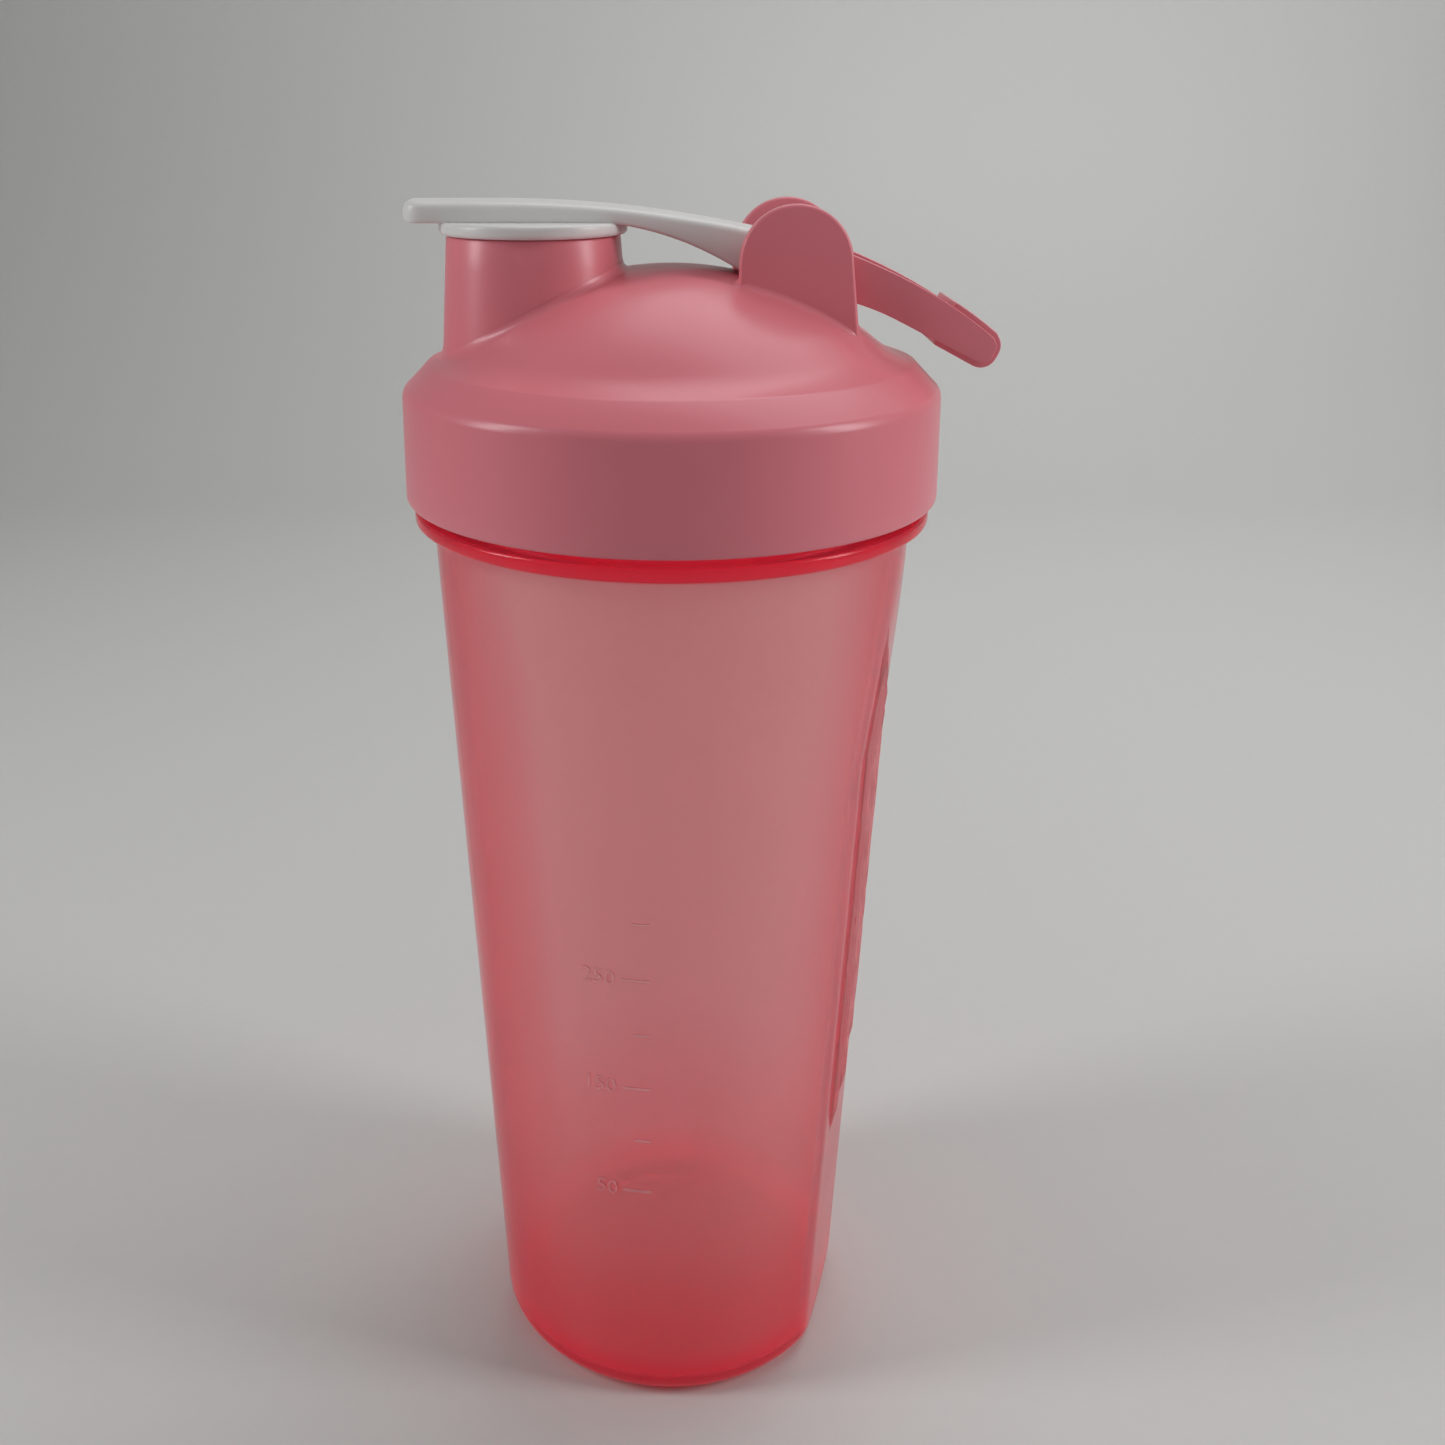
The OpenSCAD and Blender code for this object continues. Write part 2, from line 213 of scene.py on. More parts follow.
def deselect():
    """Nothing is selected, and the next primitive starts alone."""
    if bpy.context.object and bpy.context.object.mode != "OBJECT":
        bpy.ops.object.mode_set(mode="OBJECT")
    bpy.ops.object.select_all(action="DESELECT")


def choose(*pieces):
    """Selects these pieces, the first of them active."""
    deselect()
    for piece in pieces:
        piece.select_set(True)
    bpy.context.view_layer.objects.active = pieces[0]


def named(piece, name):
    """Names a piece and its mesh."""
    piece.name = piece.data.name = name
    return piece


def sew(piece, outwards=True):
    """Merges doubled points and turns the faces outwards."""
    choose(piece)
    bpy.ops.object.mode_set(mode="EDIT")
    bpy.ops.mesh.select_all(action="SELECT")
    bpy.ops.mesh.remove_doubles(threshold=SEAM)
    if outwards:
        bpy.ops.mesh.normals_make_consistent(inside=False)
    bpy.ops.object.mode_set(mode="OBJECT")
    return piece


def drawn(points):
    """A line of points in millimetres, each pulled out of the last one. It stays in edit mode, all selected."""
    deselect()
    bpy.ops.mesh.primitive_plane_add(size=MM, location=(0, 0, 0))
    bpy.ops.object.mode_set(mode="EDIT")
    bpy.ops.mesh.select_all(action="SELECT")
    bpy.ops.mesh.merge(type="CENTER")
    at = Vector(points[0]) * MM
    bpy.ops.transform.translate(value=at)
    for point in points[1:]:
        to = Vector(point) * MM
        bpy.ops.mesh.extrude_region_move(TRANSFORM_OT_translate={"value": to - at})
        at = to
    bpy.ops.mesh.select_all(action="SELECT")
    return bpy.context.object


def turned(name, outline, steps=96, x=0.0):
    """An outline of (radius, height) turned round an upright axis at x."""
    piece = drawn([(x + r, 0, z) for r, z in outline])
    bpy.ops.mesh.spin(steps=steps, angle=2 * pi, center=(x * MM, 0, 0), axis=(0, 0, 1))
    bpy.ops.object.mode_set(mode="OBJECT")
    return named(sew(piece), name)


def turned_across(name, outline, steps=48):
    """An outline of (radius, y) turned round the hinge axis."""
    piece = drawn([(HINGE_X + r, y, HINGE_Z) for r, y in outline])
    bpy.ops.mesh.spin(steps=steps, angle=2 * pi, center=(HINGE_X * MM, 0, HINGE_Z * MM), axis=(0, 1, 0))
    bpy.ops.object.mode_set(mode="OBJECT")
    return named(sew(piece), name)


def plate(name, outline, y0, y1, edge, segments=3):
    """A plate standing along X, from its outline in X and Z, with rounded edges."""
    piece = drawn([(x, y0, z) for x, z in outline])
    bpy.ops.mesh.edge_face_add()
    bpy.ops.mesh.extrude_region_move(TRANSFORM_OT_translate={"value": (0, (y1 - y0) * MM, 0)})
    bpy.ops.mesh.select_all(action="SELECT")
    bpy.ops.mesh.normals_make_consistent(inside=False)
    bpy.ops.object.mode_set(mode="OBJECT")
    bpy.ops.object.mode_set(mode="EDIT")
    bpy.ops.mesh.select_mode(type="EDGE")
    bpy.ops.object.mode_set(mode="OBJECT")
    mesh = piece.data
    for e in mesh.edges:
        ys = [mesh.vertices[v].co.y for v in e.vertices]
        e.select = abs(ys[0] - ys[1]) < SEAM
    bpy.ops.object.mode_set(mode="EDIT")
    bpy.ops.mesh.bevel(offset=edge * MM, segments=segments, affect="EDGES", clamp_overlap=True)
    bpy.ops.mesh.select_mode(type="VERT")
    bpy.ops.object.mode_set(mode="OBJECT")
    return named(piece, name)


def skin(name, rows, columns, place, outwards=True):
    """A grid whose point in column i and row j lies at place(i, j), in millimetres, sewn where its sides meet."""
    deselect()
    bpy.ops.mesh.primitive_grid_add(x_subdivisions=columns, y_subdivisions=rows, size=1, location=(0, 0, 0))
    piece = bpy.context.object
    flat = [c * MM for j in range(rows + 1) for i in range(columns + 1) for c in place(i, j)]
    piece.data.vertices.foreach_set("co", flat)
    piece.data.update()
    return named(sew(piece, outwards), name)


def swept(name, path, section):
    """Sections in millimetres along a path: section(k) gives the closed ring of points at path step k."""
    rings = [section(k) for k in range(path)]
    count = len(rings[0])

    def place(i, j):
        return rings[j][i % count]

    piece = skin(name, len(rings) - 1, count, place, outwards=False)
    choose(piece)
    bpy.ops.object.mode_set(mode="EDIT")
    bpy.ops.mesh.select_all(action="DESELECT")
    bpy.ops.mesh.select_non_manifold()
    bpy.ops.mesh.fill_holes(sides=0)
    bpy.ops.object.mode_set(mode="OBJECT")
    return sew(piece)


def cut(piece, tool, operation="DIFFERENCE"):
    """Joins the tool's shape to the piece or takes it away, and the tool goes."""
    choose(piece)
    modifier = piece.modifiers.new("cut", "BOOLEAN")
    modifier.operation = operation
    modifier.solver = "EXACT"
    modifier.object = tool
    bpy.ops.object.modifier_apply(modifier=modifier.name)
    bpy.data.objects.remove(tool)
    return piece


def joined(name, *pieces):
    """Several shapes as one piece."""
    choose(*pieces)
    if len(pieces) > 1:
        bpy.ops.object.join()
    return named(bpy.context.object, name)


def settled(piece, body, node, material, angle=32):
    """A finished piece: smooth, in its material, riding on its body in place of its CAD node."""
    choose(piece)
    bpy.ops.object.transform_apply(location=True, rotation=True, scale=True)
    bpy.ops.object.shade_smooth_by_angle(angle=radians(angle))
    piece.data.materials.clear()
    piece.data.materials.append(material)
    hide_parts(node)
    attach(piece, body)
    return piece


# ---------------------------------------------------------------- finishes


class Value:
    """A number that varies over a surface. Sums on it add Math nodes."""

    def __init__(self, finish, socket):
        self.finish, self.socket = finish, socket

    def sum(self, operation, a, b):
        node = self.finish.node("ShaderNodeMath", {"operation": operation}, {0: a, 1: b})
        return Value(self.finish, node.outputs[0])

    def __add__(self, other):
        return self.sum("ADD", self, other)

    def __radd__(self, other):
        return self.sum("ADD", other, self)

    def __sub__(self, other):
        return self.sum("SUBTRACT", self, other)

    def __rsub__(self, other):
        return self.sum("SUBTRACT", other, self)

    def __mul__(self, other):
        return self.sum("MULTIPLY", self, other)

    def __rmul__(self, other):
        return self.sum("MULTIPLY", other, self)

    def between(self, low, high):
        """1 where the number is from low to high, softened at both ends."""
        edge = (high - low) * 0.08
        up = self.rising(low - edge, low + edge)
        down = self.rising(high - edge, high + edge)
        return up * (1 - down)

    def rising(self, low, high):
        """From 0 at low to 1 at high."""
        values = {"Value": self, "From Min": low, "From Max": high}
        settings = {"clamp": True, "interpolation_type": "SMOOTHSTEP"}
        return Value(self.finish, self.finish.node("ShaderNodeMapRange", settings, values).outputs["Result"])


class Finish:
    """One material and the nodes that make it."""

    def __init__(self, name, **constants):
        self.material = bpy.data.materials.new(name)
        self.material.use_nodes = True
        self.tree = self.material.node_tree
        self.tree.nodes.clear()
        self.output = self.node("ShaderNodeOutputMaterial", {}, {})
        self.shader = self.node("ShaderNodeBsdfPrincipled", {}, constants)
        self.link(self.output.inputs["Surface"], self.shader.outputs["BSDF"])
        self.place = self.node("ShaderNodeTexCoord", {}, {}).outputs["Object"]

    def link(self, socket, value):
        if isinstance(value, Value):
            value = value.socket
        if isinstance(value, bpy.types.NodeSocket):
            self.tree.links.new(value, socket)
        else:
            socket.default_value = value

    def node(self, kind, settings, values):
        node = self.tree.nodes.new(kind)
        for key, setting in settings.items():
            setattr(node, key, setting)
        for key, value in values.items():
            self.link(node.inputs[key], value)
        return node

    def set(self, **links):
        for key, value in links.items():
            self.link(self.shader.inputs[key.replace("_", " ")], value)
        return self

    def axis(self, letter):
        """The place along one axis, in metres."""
        split = self.node("ShaderNodeSeparateXYZ", {}, {0: self.place})
        return Value(self, split.outputs[letter])

    def grain(self, size, detail=2.0, roughness=0.5, stretch=(1, 1, 1)):
        """Noise whose spots are about size metres across."""
        spread = self.node("ShaderNodeMapping", {}, {"Vector": self.place, "Scale": stretch})
        values = {"Vector": spread.outputs[0], "Scale": 1 / size, "Detail": detail, "Roughness": roughness}
        return Value(self, self.node("ShaderNodeTexNoise", {}, values).outputs["Fac"])

    def mixed(self, factor, a, b):
        """Colour a where factor is 0, and b where it is 1."""
        node = self.node("ShaderNodeMix", {"data_type": "RGBA"}, {"Factor": factor, 6: a, 7: b})
        return node.outputs[2]

    def bumped(self, height, depth, strength=1.0, under=None):
        """A normal from a height of 0 to 1 that stands for depth metres."""
        values = {"Height": height, "Distance": depth, "Strength": strength}
        if under is not None:
            values["Normal"] = under
        return self.node("ShaderNodeBump", {}, values).outputs["Normal"]


def rgba(colour, share=1.0):
    """A colour with its lightness scaled, and no transparency."""
    return (colour[0] * share, colour[1] * share, colour[2] * share, 1.0)


def frosted_cup(looks):
    """Frosted see-through pink plastic, polished in the strip over the scale, with painted reddish floor light on its
    lower wall and a painted glow.
    """
    glass = {"Transmission Weight": 0.8, "IOR": 1.33, "Specular IOR Level": 0.22, "Emission Strength": 1.0}
    finish = Finish("frosted_cup", **glass)
    x, y, z = (finish.axis(letter) for letter in "XYZ")
    strip = x.between(-0.0102, 0.0034) * z.between(0.030, 0.078) * (1 - y.rising(-0.02, -0.01))
    cloud = finish.grain(0.018, 3)
    frost = finish.grain(0.0007, 3)
    flow = finish.grain(0.004, 2, stretch=(1, 1, 0.12))
    rough = (looks.frost + 0.08 * cloud - 0.04) * (1 - 0.5 * strip)
    # Base and flange: a deeper tint for their thicker plastic, and a painted glow 2.4 times as strong as on the rest
    # of the cup.
    thick = (1 - z.rising(0.0028, 0.0120)) + z.between(0.1634, 0.1676)
    pale = finish.mixed(cloud, rgba(looks.cup_surface), rgba(looks.cup_surface, 0.965))
    pale = finish.mixed(0.5 * strip, pale, rgba(looks.cup_strip))
    facing = Value(finish, finish.node("ShaderNodeLayerWeight", {}, {"Blend": 0.5}).outputs["Facing"])
    edge = facing.rising(0.25, 0.90)
    # Painted light: towards the bottom the wall takes the edge colour, for reddish light bounced up from the floor.
    low = 1 - z.rising(0.008, 0.050)
    deep = finish.mixed(edge, pale, rgba(looks.cup_edge_and_floor_light))
    deep = finish.mixed(0.6 * low, deep, rgba(looks.cup_edge_and_floor_light))
    dull = finish.mixed(thick, deep, rgba(looks.cup_thick))
    normal = finish.bumped(frost * (1 - strip), 0.00004, 0.5)
    normal = finish.bumped(flow, 0.00012, 0.35, normal)
    # Painted glow: the cup emits a faint red light of its own, though nothing in it is a lamp.
    painted_glow = finish.mixed(thick, rgba(looks.cup_painted_glow), rgba(looks.cup_painted_glow, 2.4))
    finish.set(Base_Color=dull, Roughness=rough, Normal=normal, Emission_Color=painted_glow)
    depth = finish.node(
        "ShaderNodeVolumeAbsorption", {}, {"Color": rgba(looks.cup_depth), "Density": looks.cup_density}
    )
    finish.link(finish.output.inputs["Volume"], depth.outputs[0])
    return finish.material


def satin(name, colour, rough=0.30, fine=0.0005):
    """Moulded satin plastic: faint flow marks, fine grain, and a gloss that varies a little."""
    finish = Finish(name, **{"IOR": 1.49, "Subsurface Weight": 0.0})
    cloud = finish.grain(0.022, 3)
    flow = finish.grain(0.006, 2, stretch=(1, 1, 0.3))
    fine_grain = finish.grain(fine, 2)
    scuff = finish.grain(0.0022, 4, 0.6).rising(0.60, 0.90)
    colours = finish.mixed(cloud, rgba(colour, 0.965), rgba(colour, 1.02))
    roughness = rough - 0.05 + 0.09 * cloud + 0.03 * flow + 0.012 * scuff
    normal = finish.bumped(fine_grain, 0.00002, 0.45)
    normal = finish.bumped(flow, 0.00010, 0.3, normal)
    finish.set(Base_Color=colours, Roughness=roughness, Normal=normal)
    return finish.material


# ---------------------------------------------------------------- settings


class ShakerSizes(bpy.types.PropertyGroup):
    """Sizes that a maker might change."""

    cup_wall: FloatProperty(
        name="Cup wall",
        description="Thickness of the cup's wall",
        default=0.0018,
        min=0.001,
        max=0.003,
        unit="LENGTH",
    )
    rib_height: FloatProperty(
        name="Rib height", description="Height of a grip rib", default=0.0010, min=0, max=0.0012, unit="LENGTH"
    )
    flat_softness: FloatProperty(
        name="Flat softness",
        description="Rounding where a grip flat meets the round wall",
        default=0.0009,
        min=0.0001,
        max=0.003,
        unit="LENGTH",
    )
    scale_height: FloatProperty(
        name="Scale height",
        description="How far the scale's ticks and numbers stand out",
        default=0.00025,
        min=0.0001,
        max=0.0006,
        unit="LENGTH",
    )
    ear_edge: FloatProperty(
        name="Ear edge",
        description="Rounding of the ears' edges",
        default=0.0014,
        min=0.0002,
        max=0.0014,
        unit="LENGTH",
    )
    foot_round: FloatProperty(
        name="Foot rounding",
        description="Hollow rounding where the spout and ears grow out of the dome",
        default=0.0014,
        min=0.0003,
        max=0.003,
        unit="LENGTH",
    )
    arm_crown: FloatProperty(
        name="Arm crown", description="Rise of the flip arm's middle", default=0.0005, min=0, max=0.001, unit="LENGTH"
    )


def colour_setting(name, description, default):
    """A colour that the panel shows."""
    return FloatVectorProperty(
        name=name, description=description, default=default, size=3, min=0, max=1, subtype="COLOR"
    )


class ShakerLooks(bpy.types.PropertyGroup):
    """Colours and finishes."""

    cup_surface: colour_setting("Cup surface", "Tint of the cup's frosted face", (1.0, 0.90, 0.89))
    cup_strip: colour_setting("Cup strip", "Tint of the polished strip over the scale", (1.0, 0.92, 0.92))
    # Cup edge also paints the reddish floor light on the cup's lower wall.
    cup_edge_and_floor_light: colour_setting("Cup edge", "Tint of the cup's wall seen edge on", (1.0, 0.12, 0.20))
    cup_thick: colour_setting("Cup thick", "Tint of the thick base and flange", (1.0, 0.11, 0.17))
    # Cup glow is painted light: the plastic emits it as if it were lit from within.
    cup_painted_glow: colour_setting("Cup glow", "Light that the milky plastic scatters from within", (0.024, 0.0012, 0.0035))
    cup_depth: colour_setting("Cup depth", "Colour that deepens with the cup's thickness", (0.97, 0.03, 0.12))
    cup_density: FloatProperty(
        name="Cup density", description="How fast the cup's colour deepens, per metre", default=215, min=0, max=2000
    )
    frost: FloatProperty(
        name="Frost", description="Roughness of the cup's frosted face", default=0.15, min=0, max=1, subtype="FACTOR"
    )
    lid_pink: colour_setting("Lid pink", "Colour of the lid and carry loop", (0.83, 0.225, 0.275))
    cap_white: colour_setting("Cap white", "Colour of the flip cap", (0.80, 0.79, 0.78))
    seal_milk: colour_setting("Seal milk", "Colour of the gasket and the stopper's seal", (0.72, 0.68, 0.64))
    pin_grey: colour_setting("Pin grey", "Colour of the hinge pin", (0.62, 0.60, 0.60))
    wall_grey: colour_setting("Wall grey", "Colour of the studio's floor and wall", (0.62, 0.62, 0.61))


def sizes():
    return bpy.context.scene.shaker_sizes


def looks():
    return bpy.context.scene.shaker_looks


# ---------------------------------------------------------------- cup


def cup_rows():
    """The cup's section: (radius, height, how far inside the outer face the flats lie, or None for round)."""
    lean = atan(WALL_SLOPE)
    wall = sizes().cup_wall / MM
    flat_r = WALL_LOW - BASE_ROUND * (1 / cos(lean) - tan(lean))
    lean = degrees(lean)
    recess, foot = 0.9, 2.2
    rows = [(r, recess, 0.0) for r in (0.0, 6.0, 12.0, 17.0, flat_r - foot - 0.9)]
    rows += [(flat_r - foot - 0.3, recess - 0.2, 0.0), (flat_r - foot, 0.3, 0.0), (flat_r - foot + 0.4, 0.0, 0.0)]
    rows += [(r, z, 0.0) for r, z in arc(flat_r, BASE_ROUND, BASE_ROUND, -90, -lean, 10)]
    top = FLANGE_Z - 0.8
    low = rows[-1][1]
    steps = 62
    rows += [(wall_at(z), z, 0.0) for z in (low + (top - low) * (i + 1) / steps for i in range(steps))]
    rows += [(r, z, None) for r, z in arc(wall_at(FLANGE_Z) + 1.0, FLANGE_Z - 1.0, 1.0, 180, 90, 4)[1:]]
    rows += [(r, z, None) for r, z in arc(FLANGE_R - 0.8, FLANGE_Z + 0.8, 0.8, -90, 0, 4)]
    rows += [(r, z, None) for r, z in arc(FLANGE_R - 0.6, FLANGE_Z + FLANGE_T - 0.6, 0.6, 0, 90, 4)]
    rows += [(r, z, None) for r, z in arc(NECK_R + 0.6, FLANGE_Z + FLANGE_T + 0.6, 0.6, 270, 180, 3)]
    rows += [(NECK_R, z, None) for z in (171.0, 178.0, 184.0)]
    rows += [(r, z, None) for r, z in arc(NECK_R - 0.7, RIM_Z - 0.7, 0.7, 0, 90, 4)]
    rows += [(r, z, None) for r, z in arc(NECK_IN_R + 0.5, RIM_Z - 0.5, 0.5, 90, 180, 4)]
    rows += [(NECK_IN_R, 180.0, None), (NECK_IN_R, 173.5, None), (NECK_IN_R - 0.5, 172.0, None)]
    rows += [(wall_at(FLANGE_Z) - wall, FLANGE_Z, None)]
    round_in = BASE_ROUND - wall
    inside = arc(flat_r, FLOOR + round_in, round_in, -90, -lean, 8)
    high, low = FLANGE_Z - 2.0, inside[-1][1]
    steps = 44
    rows += [(wall_at(z) - wall, z, wall) for z in (high + (low - high) * i / steps for i in range(steps))]
    rows += [(r, z, wall) for r, z in reversed(inside)]
    rows += [(r, FLOOR, wall) for r in (20.0, 14.0, 7.0, 0.0)]
    return rows


def cup_angles():
    """Column angles in degrees: close together over the grip flats and their ribs."""
    angles = []
    for turn in (0, 180):
        middle = GRIP_ANGLE + turn
        angles += [middle - 36 + i * 0.8 for i in range(28)]
        angles += [middle - 13.6 + i * 0.4 for i in range(68)]
        angles += [middle + 13.6 + i * 0.8 for i in range(29)]
        angles += [middle + 36.8 + i * 3.05 for i in range(35)]
    return angles + [angles[0] + 360]


def rib_rise(across, z):
    """Height of the ribs above a flat, at a distance across it."""
    low, high = (46, 52, 48, 56), (147, 142, 137, 131)
    rise = 0.0
    for i in range(4):
        middle = (i - 1.5) * RIB_PITCH + 0.22 * sin(z / 7.0 + i)
        side = 1 - min(abs(across - middle) / 0.7, 1)
        ends = min(max(min(z - low[i], high[i] - z) / 4.0, 0), 1)
        rise = max(rise, side * side * (3 - 2 * side) * ends)
    return rise * sizes().rib_height / MM


def cup_shell():
    """The cup's closed wall, flats, flange and neck."""
    rows, angles = cup_rows(), cup_angles()
    soft = sizes().flat_softness / MM

    def place(i, j):
        r, z, inset = rows[j]
        turn = radians(angles[i])
        if inset is not None:
            for middle in (GRIP_ANGLE, GRIP_ANGLE + 180):
                off = (angles[i] - middle + 180) % 360 - 180
                if abs(off) < 60:
                    flat = grip_at(z) - inset
                    if inset == 0.0:
                        flat += rib_rise(r * sin(radians(off)), z)
                    r = soft_min(r, flat / cos(radians(off)), soft)
        return (r * cos(turn), r * sin(turn), z)

    return skin("cup_shell", len(rows) - 1, len(angles) - 1, place)


def thread(name, root, crest, z0, start):
    """One rounded thread tooth along a helix, faded at both ends."""
    steps = ceil(THREAD_TURNS * 72)
    side = 1 if crest > root else -1

    def section(k):
        turn = radians(start + 5.0 * k)
        z = z0 + THREAD_LEAD * k / 72
        fade = min(1, (k + 0.3) / 6, (steps - k - 0.7) / 6)
        ring = []
        for share, half in ((0, 1.35), (0.35, 1.15), (0.8, 0.85), (1.0, 0.45)):
            ring.append((root + (crest - root) * share * fade, -half))
        ring += [(r, -h) for r, h in reversed(ring)]
        return [(r * cos(turn), r * sin(turn), z + side * h) for r, h in ring]

    return swept(name, steps, section)


def scale_marks():
    """Raised ticks and generic numbers on the cup's front."""
    high = sizes().scale_height / MM
    marks = []
    for step in range(6):
        z = 48.0 + 11.0 * step
        length = 5.0 if step % 2 == 0 else 3.0
        deselect()
        bpy.ops.mesh.primitive_cube_add(size=1, location=((-3.6 - length / 2) * MM, 0, z * MM))
        tick = bpy.context.object
        tick.scale = (length * MM, high * MM, 0.5 * MM)
        bpy.ops.object.transform_apply(location=True, rotation=True, scale=True)
        bpy.ops.object.mode_set(mode="EDIT")
        bpy.ops.mesh.select_all(action="SELECT")
        bpy.ops.mesh.subdivide(number_cuts=3)
        bpy.ops.object.mode_set(mode="OBJECT")
        marks.append(tick)
        if step % 2 == 0:
            deselect()
            bpy.ops.object.text_add(location=(0, 0, 0), rotation=(radians(90), 0, 0))
            number = bpy.context.object
            number.data.body = str(50 + 50 * step)
            number.data.size = 4.2 * MM
            number.data.align_x = "RIGHT"
            number.data.align_y = "CENTER"
            number.data.extrude = high * MM / 2
            number.data.resolution_u = 2
            bpy.ops.object.convert(target="MESH")
            number = bpy.context.object
            number.location = (-9.6 * MM, 0, z * MM)
            bpy.ops.object.transform_apply(location=True, rotation=True, scale=True)
            marks.append(number)
    piece = joined("scale_marks", *marks)
    for vertex in piece.data.vertices:
        x, y, z = (c / MM for c in vertex.co)
        r = wall_at(z) - y + high * 0.2
        turn = x / wall_at(z)
        vertex.co = Vector((r * sin(turn), -r * cos(turn), z)) * MM
    piece.data.update()
    return sew(piece)


class SHAKER_OT_cup(bpy.types.Operator):
    """Frosted cup with its grip flats, ribs, flange, thread and scale"""

    bl_idname = "shaker.cup"
    bl_label = "Cup"

    def execute(self, context):
        threads = [thread("thread", NECK_R - 0.3, NECK_R + 2.0, THREAD_Z, start) for start in (0, 180)]
        piece = joined("cup", cup_shell(), scale_marks(), *threads)
        settled(piece, "cup", "bottle_body", frosted_cup(looks()), 40)
        return {"FINISHED"}


# ---------------------------------------------------------------- lid


def lid_outer():
    """The lid's outer section, from the collar's lower edge to the dome's top."""
    foot = degrees(asin((SHELF_Z - DOME_CENTRE_Z) / DOME_R))
    points = [(0, LID_Z)]
    points += arc(LID_R - 0.8, LID_Z + 0.8, 0.8, -90, 0, 4)
    points += line((LID_R, LID_Z + 0.8), (LID_R - 0.1, SHOULDER_Z), 6)[1:-1]
    points += arc(LID_R - 0.1 - SHOULDER_ROUND, SHOULDER_Z, SHOULDER_ROUND, 0, 58, 8)
    points += SHELF_CURVE
    points += arc(0, DOME_CENTRE_Z, DOME_R, foot + 1.2, 90, 30)[1:]
    return points


def lid_inner(low=LID_Z - 1):
    """The space inside the lid, down to below its edge."""
    inner = DOME_R - 2.0
    edge = LIP_R - LIP_T
    points = [(0, low), (SKIRT_R + 0.6, low), (SKIRT_R + 0.6, LID_Z), (SKIRT_R, LID_Z + 1.2)]
    points += [(SKIRT_R, CEILING_Z - 0.5), (SKIRT_R - 0.5, CEILING_Z)]
    points += [(LIP_R, CEILING_Z), (LIP_R, LIP_Z + 0.6), (LIP_R - 0.2, LIP_Z + 0.15)]
    points += [(LIP_R - 0.6, LIP_Z), (edge + 0.3, LIP_Z), (edge, LIP_Z + 0.3)]
    points += arc(0, DOME_CENTRE_Z, inner, degrees(acos(edge / inner)), 90, 24)
    return points


def foot_fillet(name, ring, high):
    """A hollow rounding between the dome and a wall on it, round a ring of points and outward directions."""
    rows = 6
    sunk = 0.03  # into the wall, so that no gap shows

    def place(i, j):
        (x, y), (nx, ny) = ring[i % len(ring)]
        angle = radians(90 * j / rows)
        out = high * (1 - cos(angle)) - sunk
        up = high * (1 - sin(angle))
        x, y = x + nx * out, y + ny * out
        return (x, y, roof_at(x, y) + up - sunk / 2)

    return skin(name, rows, len(ring), place)


def spout_ring():
    """Points round the spout's foot, with their outward directions."""
    ring = []
    for k in range(120):
        c, s = cos(2 * pi * k / 120), sin(2 * pi * k / 120)
        x, y = SPOUT_X + SPOUT_LOW_R * c, SPOUT_LOW_R * s
        share = (SPOUT_Z - roof_at(x, y)) / (SPOUT_Z - SHELF_Z)
        r = SPOUT_TOP_R + (SPOUT_LOW_R - SPOUT_TOP_R) * share
        ring.append(((SPOUT_X + r * c, r * s), (c, s)))
    return ring


def ear_sides(z):
    """The ear's left and right edges at height z, below the hinge."""
    down = (HINGE_Z - z) / 14.0
    return HINGE_X - EAR_R - 0.4 * down, HINGE_X + EAR_R + 1.5 * down


def ear_ring(side):
    """Points round an ear's foot, with their outward directions."""
    edge = sizes().ear_edge / MM
    y_mid = side * (EAR_OUT - EAR_T / 2)
    left, right = ear_sides(202.4)[0], ear_sides(196.5)[1]
    ring = []
    for cx, cy, a0 in (
        (right - edge, y_mid + EAR_T / 2 - edge, 0),
        (left + edge, y_mid + EAR_T / 2 - edge, 90),
        (left + edge, y_mid - EAR_T / 2 + edge, 180),
        (right - edge, y_mid - EAR_T / 2 + edge, 270),
    ):
        for k in range(5):
            a = radians(a0 + 90 * k / 4)
            ring.append(((cx + edge * cos(a), cy + edge * sin(a)), (cos(a), sin(a))))
    # more points along the straight sides
    full = []
    for k, (point, out) in enumerate(ring):
        following = ring[(k + 1) % len(ring)][0]
        gap = hypot(following[0] - point[0], following[1] - point[1])
        n = max(1, round(gap / 1.2))
        full += [(step, out) for step in line(point, following, n)[:-1]]
    return full


def ear_outline():
    """An ear's rounded outline, seen along the hinge."""
    foot = 14.0
    left, right = ear_sides(HINGE_Z - foot)
    return [(right, HINGE_Z - foot)] + arc(HINGE_X, HINGE_Z, EAR_R, 0, 180, 24) + [(left, HINGE_Z - foot)]


